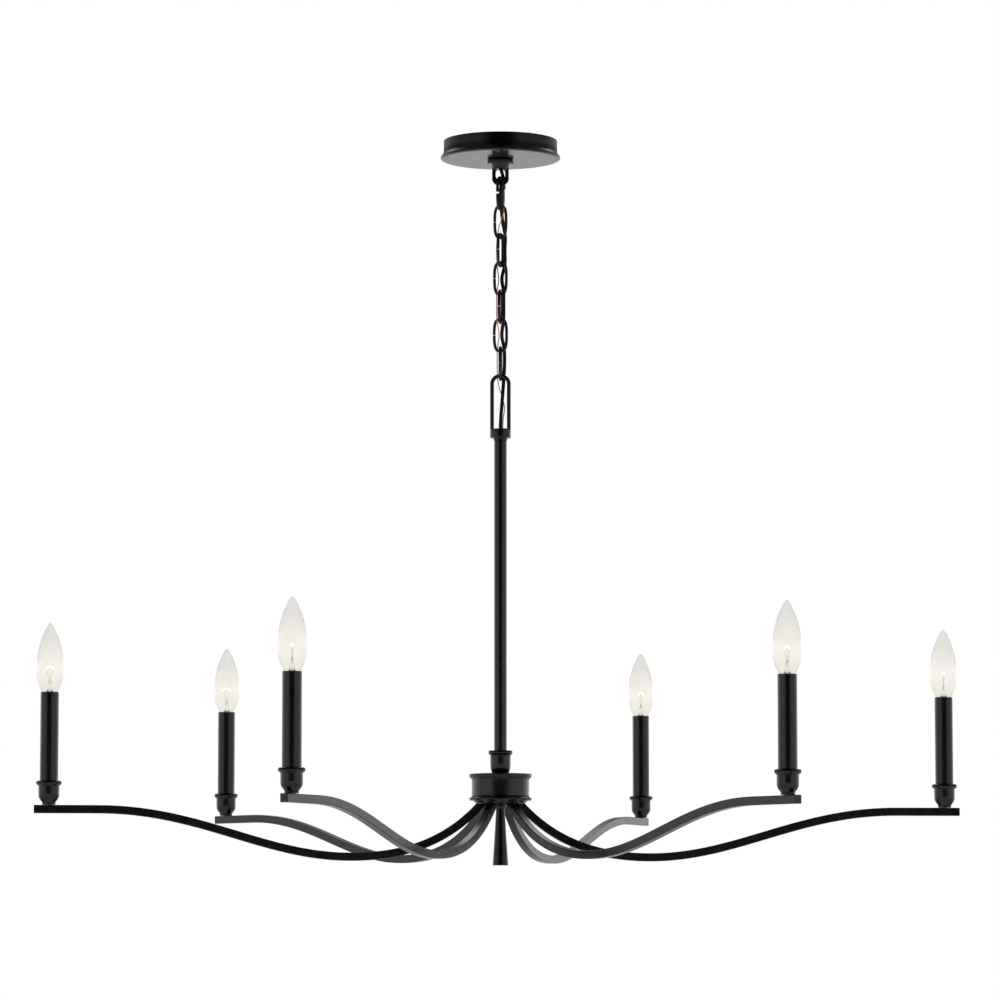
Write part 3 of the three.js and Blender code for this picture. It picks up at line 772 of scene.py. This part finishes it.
# ------------------------------------------------------------------ chain
LINK_WIRE = 0.00175
LINK_HALF_WIDTH, LINK_HALF_LENGTH = 0.0073, 0.0187
LINK_TWIST = [28, 25, 22, 18, 14, 9, 5]          # degrees, easing off down the chain
LINK_SEAM, OPEN_SEAM = 0.0005, 0.0022
LINK_SQUARENESS = 2 / 3                # 1 would be an ellipse
SEAM_EASE, SEAM_TAPER = 0.12, 0.16     # shares of a step and of the wire's width, at each end of a link


def link_line(seam, steps=96):
    """A squared oval that starts and ends at the seam in its left side."""
    line = []
    samples = 2000
    for k in range(samples + 1):
        a = math.pi + 2 * math.pi * k / samples
        c, s = math.cos(a), math.sin(a)
        line.append(Vector((LINK_HALF_WIDTH * math.copysign(abs(c) ** LINK_SQUARENESS, c), 0,
                            LINK_HALF_LENGTH * math.copysign(abs(s) ** LINK_SQUARENESS, s))))
    lengths = [0]
    for first, second in zip(line, line[1:]):
        lengths.append(lengths[-1] + (second - first).length)
    picked, at = [], 0
    for k in range(steps + 1):
        wanted = seam / 2 + (lengths[-1] - seam) * k / steps
        while lengths[at + 1] < wanted:
            at += 1
        share = (wanted - lengths[at]) / (lengths[at + 1] - lengths[at])
        picked.append(line[at].lerp(line[at + 1], share))
    return picked


def make_chain():
    for i in LINK_NUMBERS:
        node = f"chain_link_{i}"
        low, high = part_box(node)
        line = link_line(OPEN_SEAM if i == 1 else LINK_SEAM)
        ends = [line[0].lerp(line[1], SEAM_EASE), line[-1].lerp(line[-2], SEAM_EASE)]
        path = [line[0], ends[0], *line[1:-1], ends[1], line[-1]]
        mesh = swept(f"{node}_form", path, round_section(LINK_WIRE, 20), start_side=(0, 1, 0),
                     taper=SEAM_TAPER)
        angle = math.radians((90 if i % 2 else 0) - LINK_TWIST[i - 1])
        mesh.transform(Matrix.Translation((0, 0, (low.z + high.z) / 2)) @ Matrix.Rotation(angle, 4, "Z"))
        stand_in(show(mesh, BLACK), node)


def make_stem_loop():
    low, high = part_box("stem_loop")
    wire_r, leg_x, collar_r, neck_r, bore_r = 0.0023, 0.00975, 12.2, 8.1, 4.2
    bend_z = high.z - wire_r - leg_x
    collar_top, collar_bottom = -339.2, -349.8
    foot = (collar_top - 4) * MM
    leg_steps, bend_steps = 8, 28
    path = [Vector((-leg_x, 0, foot + (bend_z - foot) * k / leg_steps)) for k in range(leg_steps)]
    for k in range(bend_steps + 1):
        angle = math.pi * k / bend_steps
        path.append(Vector((leg_x * math.cos(math.pi - angle), 0, bend_z + leg_x * math.sin(angle))))
    path += [Vector((leg_x, 0, bend_z + (foot - bend_z) * k / leg_steps)) for k in range(1, leg_steps + 1)]
    wire = show(swept("loop_wire", path, round_section(wire_r, 24), start_side=(0, 1, 0)), BLACK)
    stem = Spot("stem")
    spigot, bottom = stem.bore - 0.3, low.z / MM
    collar = show(revolved("stem_loop_form", softened([
        (bore_r, bottom, 0.2), (spigot, bottom, 0.3), (spigot, stem.top + 0.3),
        (neck_r, stem.top + 0.3, 0.3), (neck_r, collar_bottom, 0.4), (collar_r - 0.4, collar_bottom, 0.6),
        (collar_r, collar_bottom + 1, 0.5), (collar_r, collar_top - 1, 0.5),
        (collar_r - 0.7, collar_top, 0.6), (bore_r, collar_top, 0.3),
    ]), turns=72), BLACK)
    stand_in(solid_ops(collar, union=[wire]), "stem_loop")


make_chain()
make_stem_loop()


# ------------------------------------------------------------------ arms
ARM_SIZE, ARM_WALL, ARM_CORNER = 0.0094, 0.0011, 0.0007
ARM_INNER_CORNER = ARM_CORNER * 0.6
ARM_LEVEL, ARM_BEND = -0.7823, 0.462             # the level tip's height, and where its bend starts
ARM_LOW = (0.1737, -0.8356)                      # (radius, height), as in ARM_ROOT
ARM_ROOT, ARM_ROOT_SLOPE = (0.0183, -0.7700), 49.6         # the slope is in degrees
ARM_HANDLES = (0.117, 0.1003, 0.0671, 0.0589)    # how hard the curve pulls, from the tip inwards
ARM_END_WALL = 0.002                             # thickness of the closed tip
ARM_ROOT_GAP = 0.0003                            # between the arm's top and the hub's plate
TIP_EASE, TIP_FACE = 0.00035, 0.93               # rounding of the tip's rim, and the size of its flat face


def bezier(a, b, c, d, steps):
    a, b, c, d = map(Vector, (a, b, c, d))
    return [a * (1 - t) ** 3 + b * 3 * t * (1 - t) ** 2 + c * 3 * t * t * (1 - t) + d * t ** 3
            for t in [k / steps for k in range(steps + 1)]]


def arm_line(tip):
    """The middle of an arm as (radius, height) points, from its tip in to the hub."""
    slope = math.radians(ARM_ROOT_SLOPE)
    h1, h2, h3, h4 = ARM_HANDLES
    low_r, low_z = ARM_LOW
    root_r, root_z = ARM_ROOT
    outer = bezier((ARM_BEND, ARM_LEVEL), (ARM_BEND - h1, ARM_LEVEL), (low_r + h2, low_z), ARM_LOW, 44)
    inner = bezier(ARM_LOW, (low_r - h3, low_z),
                   (root_r + h4 * math.cos(slope), root_z - h4 * math.sin(slope)), ARM_ROOT, 40)
    straight = [Vector((tip + (ARM_BEND - tip) * k / 6, ARM_LEVEL)) for k in range(6)]
    return [*straight, *outer, *inner[1:]]


def arm_rings(bm, tip, size, corner, cut):
    """Rings of a bar along the arm's line, the last one cut level under the hub."""
    line = arm_line(tip)
    rings = []
    for i, point in enumerate(line):
        along = (line[min(i + 1, len(line) - 1)] - line[max(i - 1, 0)]).normalized()
        across = Vector((along.y, -along.x))
        ring = []
        above = False
        for side, up in rounded_square(size, corner):
            spot = point + across * up
            above = above or spot.y > cut
            ring.append((spot, side, along))
        if above:
            ring = [(spot + along * ((cut - spot.y) / along.y), side, along) for spot, side, along in ring]
        rings.append([bm.verts.new((spot.x, side, spot.y)) for spot, side, along in ring])
        if above:
            break
    return rings


def make_arm(i, azimuth):
    node = f"arm_{i}"
    reach = max(math.hypot(v.co.x, v.co.y) for v in frame["nodes"][node].data.vertices)
    tip = math.sqrt(reach ** 2 - (ARM_SIZE / 2) ** 2)
    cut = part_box("hub_plate")[0].z - ARM_ROOT_GAP
    bm = bmesh.new()
    outer = arm_rings(bm, tip, ARM_SIZE, ARM_CORNER, cut)
    inner = arm_rings(bm, tip - ARM_END_WALL, ARM_SIZE - 2 * ARM_WALL, ARM_INNER_CORNER, cut)
    for rings in (outer, inner):
        for first, second in zip(rings, rings[1:]):
            stitch(bm, first, second)
    stitch(bm, outer[-1], inner[-1])
    bm.faces.new(inner[0])
    # The tip's rim is eased and its end face closed.
    end_face = []
    for v in outer[0]:
        rise = (v.co.z - ARM_LEVEL) * TIP_FACE
        end_face.append(bm.verts.new((v.co.x, v.co.y * TIP_FACE, ARM_LEVEL + rise)))
    for v in outer[0]:
        v.co.x -= TIP_EASE
    stitch(bm, outer[0], end_face)
    bm.faces.new(end_face)
    mesh = mesh_of(f"{node}_form", bm)
    mesh.transform(Matrix.Rotation(azimuth, 4, "Z"))
    stand_in(show(mesh, BLACK), node)


# ------------------------------------------------------------------ candles
LAMP_PITCH = 2.54                      # millimetres, the thread of a lamp and of its socket
HOOP_RADIUS, HOOP_RISE, COIL_RADIUS = 4.6, 3.4, 0.42       # millimetres, of the filament
COIL_TURNS, COIL_STEPS = 26, 8
LEAD_RADIUS, ANCHOR_RADIUS, FILAMENT_RADIUS = 0.00022, 0.00018, 0.00013
HOOP_TURN, NEXT_HOOP_TURN = 25, 47     # degrees about the lamp's axis, so that no two hoops face alike


def candle_axis(i):
    """Where candle i stands, as (x, y) in metres."""
    points = frame["nodes"][f"candle_sleeve_{i}"].data.vertices
    x = sum(v.co.x for v in points) / len(points)
    y = sum(v.co.y for v in points) / len(points)
    return x, y


def make_cup(i, axis):
    node = f"candle_cup_{i}"
    s = Spot(node, axis)
    b, t = s.bottom, s.top
    turned(node, softened([
        (s.bore, b, 0.2), (7.6, b, 0.5), (7.85, b + 1.2, 0.6), (7.6, b + 2.7, 0.6), (8.6, b + 4, 0.8),
        (10.5, b + 6.3, 2), (11.7, b + 9, 2), (12, b + 12, 2), (12, t - 5.6, 0.8), (13.1, t - 4.9, 0.7),
        (s.radius - 0.4, t - 3.7, 0.8), (s.radius, t - 2.4, 0.8), (s.radius - 0.6, t - 0.7, 0.8),
        (s.radius - 2, t, 0.5), (10.6, t, 0.4), (10.6, b + 10, 2), (8, b + 8, 1), (s.bore, b + 8, 0.2),
    ]), axis, turns=72)


def make_sleeve(i, axis):
    node = f"candle_sleeve_{i}"
    s = Spot(node, axis)
    bore = s.radius - 1.1
    turned(node, softened([
        (bore, s.bottom, 0.2), (s.radius, s.bottom, 0.25), (s.radius, s.top, 0.3), (bore, s.top, 0.25),
    ]), axis, turns=72)


def make_socket(i, axis):
    node = f"socket_{i}"
    s = Spot(node, axis)
    bore, floor, body = 6.5, s.top - 27.5, s.top - 39.5
    turned(node, softened([
        (0, s.bottom), (4.2, s.bottom, 0.3), (4.2, body - 4, 0.8), (s.radius, body, 0.8),
        (s.radius, s.top, 0.5), (bore, s.top, 0.5), (bore, floor, 0.6), (1.8, floor, 0.2),
        (1.8, floor + 0.8, 0.3), (0, floor + 0.9),
    ], closed=False), axis, turns=56)
    low, high = floor + 5, s.top - 3
    outer = climb(bore - 0.05, low, high, 0.5)
    inner = climb(bore - 0.3, high, low, 0.5)
    shell = show(revolved(f"socket_shell_{i}", outer + inner, turns=48,
                          shape=thread(0.16, LAMP_PITCH, low, high)), LAMP_BRASS)
    shell.data.transform(Matrix.Translation((axis[0], axis[1], 0)))
    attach(shell, BODY_OF[node])


def bulb_profile(top):
    """Outer line of a torpedo lamp above the sleeve's top, in millimetres."""
    shape = [(8.1, -0.5), (11.3, 5), (14.3, 12), (16.2, 20), (16.5, 30), (15.6, 40), (13.5, 50), (10.5, 60),
             (6.8, 69), (3.9, 75), (2.2, 77.4)]
    line = smooth_route([(r, top + h, 0) for r, h in shape], 5)
    return [(p.x, p.y) for p in line]


def make_bulb(i, axis):
    glass_node, base_node = f"bulb_glass_{i}", f"bulb_base_{i}"
    sleeve = Spot(f"candle_sleeve_{i}", axis)
    s = Spot(glass_node, axis)
    base = Spot(base_node, axis)
    outer = bulb_profile(sleeve.top)
    wall, narrowest = 0.4, 1.0
    inner = [(max(r - wall, narrowest), z) for r, z in outer]
    outline = [
        *outer, (0.9, s.top - 0.25), (0, s.top), (0, s.top - 1.6), (narrowest, s.top - 2.0),
        *reversed(inner[:-1]),
    ]
    turned(glass_node, outline, axis, turns=72, sharp=60)

    low, high = base.bottom + 4.5, base.top - 6
    turned(base_node, [
        (0, base.bottom), (1.6, base.bottom + 0.1), (2.3, base.bottom + 0.7), (2.5, base.bottom + 1.5),
        (3.0, base.bottom + 1.7), (base.radius - 1.0, base.bottom + 4),
        *climb(base.radius, low, high, 0.42), (base.radius - 0.3, base.top - 5.4),
        (base.radius - 0.3, base.top - 0.3), (base.radius - 0.6, base.top), (0, base.top),
    ], axis, turns=56, shape=thread(0.55, LAMP_PITCH, low, high, beyond=base.radius - 0.1), sharp=50)
    make_lamp_inside(i, glass_node, axis, base.top + 0.35)


def make_lamp_inside(i, glass_node, axis, foot):
    """The glass stem with its press, two lead wires, an anchor, and a hoop of coiled filament."""
    stem_glass = revolved(f"lamp_stem_{i}", softened([
        (0, foot), (5.2, foot, 0.5), (3.6, foot + 2.4, 1.5), (2.3, foot + 6, 2), (2.1, foot + 11, 1),
        (1.4, foot + 14.5, 1), (0.7, foot + 15.5, 0.4), (0, foot + 15.8),
    ], closed=False), turns=40)
    press = show(stem_glass, STEM_GLASS)
    hot = foot + 27
    leads = []
    for side, name in ((-1, "left"), (1, "right")):
        route = [(side * 1.2, 0, foot + 9), (side * 1.3, 0, foot + 14), (side * 2.4, 0, foot + 20),
                 (side * HOOP_RADIUS, 0, hot)]
        line = smooth_route([Vector(p) * MM for p in route], 6)
        leads.append(show(swept(f"lead_wire_{i}_{name}", line, round_section(LEAD_RADIUS, 8)), LEAD))
    route = [(0, 0, foot + 12), (0.2, 0.3, foot + 20), (0, 0, hot + HOOP_RISE)]
    line = smooth_route([Vector(p) * MM for p in route], 5)
    anchor = show(swept(f"filament_anchor_{i}", line, round_section(ANCHOR_RADIUS, 8)), LEAD)
    coil = []
    for k in range(COIL_TURNS * COIL_STEPS + 1):
        share = k / (COIL_TURNS * COIL_STEPS)
        sweep = math.pi * (1 - share)
        centre = Vector((HOOP_RADIUS * math.cos(sweep), 0, hot + HOOP_RISE * math.sin(sweep)))
        outward = Vector((math.cos(sweep), 0, math.sin(sweep)))
        sideways = Vector((0, COIL_RADIUS, 0))
        angle = 2 * math.pi * k / COIL_STEPS
        coil.append((centre + outward * COIL_RADIUS * math.cos(angle) + sideways * math.sin(angle)) * MM)
    filament = show(swept(f"filament_{i}", coil, round_section(FILAMENT_RADIUS, 6)), FILAMENT)
    move = Matrix.Translation((axis[0], axis[1], 0))
    turn = Matrix.Rotation(math.radians(HOOP_TURN + NEXT_HOOP_TURN * i), 4, "Z")
    for obj in [press, *leads, anchor, filament]:
        obj.data.transform(move @ turn)
        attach(obj, BODY_OF[glass_node])


for number in ARM_NUMBERS:
    place = candle_axis(number)
    make_arm(number, math.atan2(place[1], place[0]))
    make_cup(number, place)
    make_sleeve(number, place)
    make_socket(number, place)
    make_bulb(number, place)


# ------------------------------------------------------------------ floor and light
FLOOR_LEVEL = -2.1
FLOOR_REACH = 30.0
FLOOR_GLOW_STARTS, FLOOR_GLOW_FULL = 4.0, 11.0   # metres away: the paint mirrors a brighter floor far off
FLOOR_GLOW_NEAR, FLOOR_GLOW_FAR = 0.32, 0.55
DARK_STRIP, LIT_SIDES = 12, 42         # degrees either side of -Y, where the photo was taken from
BELT_TOP, BELT_FADED = 6.5, 11         # degrees above the horizon
ABOVE_BELT = 0.15                      # light left above the belt
SIDE_LIGHT, BACK_LIGHT = 0.9, 1.4
BACK_STARTS, BACK_FULL = 0.1, 0.7      # how far towards +Y a level direction points, 1 being all the way
TALL_LIGHT = 2.0
TALL_LIGHT_FOOT, TALL_LIGHT_FULL = 20, 50        # degrees above the horizon
TALL_LIGHT_EDGE, TALL_LIGHT_SIDE = 0.45, 0.65    # how far towards +Y a direction points


def eased(tree, source, start, end, low, high):
    """A smooth change from low to high as the source goes from start to end."""
    node = tree.nodes.new("ShaderNodeMapRange")
    node.interpolation_type = "SMOOTHSTEP"
    for socket, value in zip(("From Min", "From Max", "To Min", "To Max"), (start, end, low, high)):
        node.inputs[socket].default_value = value
    tree.links.new(source, node.inputs["Value"])
    return node.outputs["Result"]


def make_floor():
    bm = bmesh.new()
    bmesh.ops.create_grid(bm, x_segments=8, y_segments=8, size=FLOOR_REACH)
    mesh = mesh_of("floor", bm)
    mesh.transform(Matrix.Translation((0, 0, FLOOR_LEVEL)))
    material, tree, shader = new_material("floor", Roughness=0.9, Emission_Color=(1, 1, 1, 1))
    vary(tree, shader, "Base Color", noise(tree, 1.5, 3), 0.86, 0.90)
    away = tree.nodes.new("ShaderNodeVectorMath")
    away.operation = "LENGTH"
    place = tree.nodes.new("ShaderNodeTexCoord")
    tree.links.new(place.outputs["Object"], away.inputs[0])
    glow = eased(tree, away.outputs["Value"], FLOOR_GLOW_STARTS, FLOOR_GLOW_FULL,
                 FLOOR_GLOW_NEAR, FLOOR_GLOW_FAR)
    tree.links.new(glow, shader.inputs["Emission Strength"])
    show(mesh, material)


def make_world():
    """A white belt with an unlit strip on the -Y side, and a tall light on the +Y side.

    The gloss mirrors these. Seen directly or through glass, the room is plain white.
    """
    world = bpy.data.worlds.new("studio")
    world.use_nodes = True
    tree = world.node_tree
    nodes, links = tree.nodes, tree.links
    direction = nodes.new("ShaderNodeTexCoord").outputs["Generated"]
    flat = nodes.new("ShaderNodeVectorMath")
    flat.operation = "MULTIPLY"
    flat.inputs[1].default_value = (1, 1, 0)
    level = nodes.new("ShaderNodeVectorMath")
    level.operation = "NORMALIZE"
    round_about = nodes.new("ShaderNodeSeparateXYZ")
    toward = nodes.new("ShaderNodeSeparateXYZ")
    links.new(direction, flat.inputs[0])
    links.new(flat.outputs[0], level.inputs[0])
    links.new(level.outputs[0], round_about.inputs[0])
    links.new(direction, toward.inputs[0])

    def combine(operation, first, second):
        node = nodes.new("ShaderNodeMath")
        node.operation = operation
        links.new(first, node.inputs[0])
        links.new(second, node.inputs[1])
        return node.outputs[0]

    def height(degrees):
        return math.sin(math.radians(degrees))

    def facing(degrees):
        return -math.cos(math.radians(degrees))

    sides = eased(tree, round_about.outputs["Y"], facing(DARK_STRIP), facing(LIT_SIDES), 0, 1)
    backdrop = eased(tree, round_about.outputs["Y"], BACK_STARTS, BACK_FULL, SIDE_LIGHT, BACK_LIGHT)
    belt = eased(tree, toward.outputs["Z"], height(BELT_TOP), height(BELT_FADED), 1, ABOVE_BELT)
    tall = eased(tree, toward.outputs["Z"], height(TALL_LIGHT_FOOT), height(TALL_LIGHT_FULL), 0, TALL_LIGHT)
    beyond = eased(tree, toward.outputs["Y"], TALL_LIGHT_EDGE, TALL_LIGHT_SIDE, 0, 1)
    low_light = combine("MULTIPLY", combine("MULTIPLY", sides, backdrop), belt)
    light = combine("ADD", low_light, combine("MULTIPLY", tall, beyond))
    seen = nodes.new("ShaderNodeMix")
    seen.inputs["B"].default_value = 1.0
    path = nodes.new("ShaderNodeLightPath")
    links.new(combine("MAXIMUM", path.outputs["Is Camera Ray"], path.outputs["Is Transmission Ray"]),
              seen.inputs["Factor"])
    links.new(light, seen.inputs["A"])
    back = nodes["Background"]
    links.new(seen.outputs["Result"], back.inputs["Strength"])
    back.inputs["Color"].default_value = (1, 1, 1, 1)
    bpy.context.scene.world = world


make_floor()
make_world()
bpy.context.scene.view_settings.view_transform = "Standard"
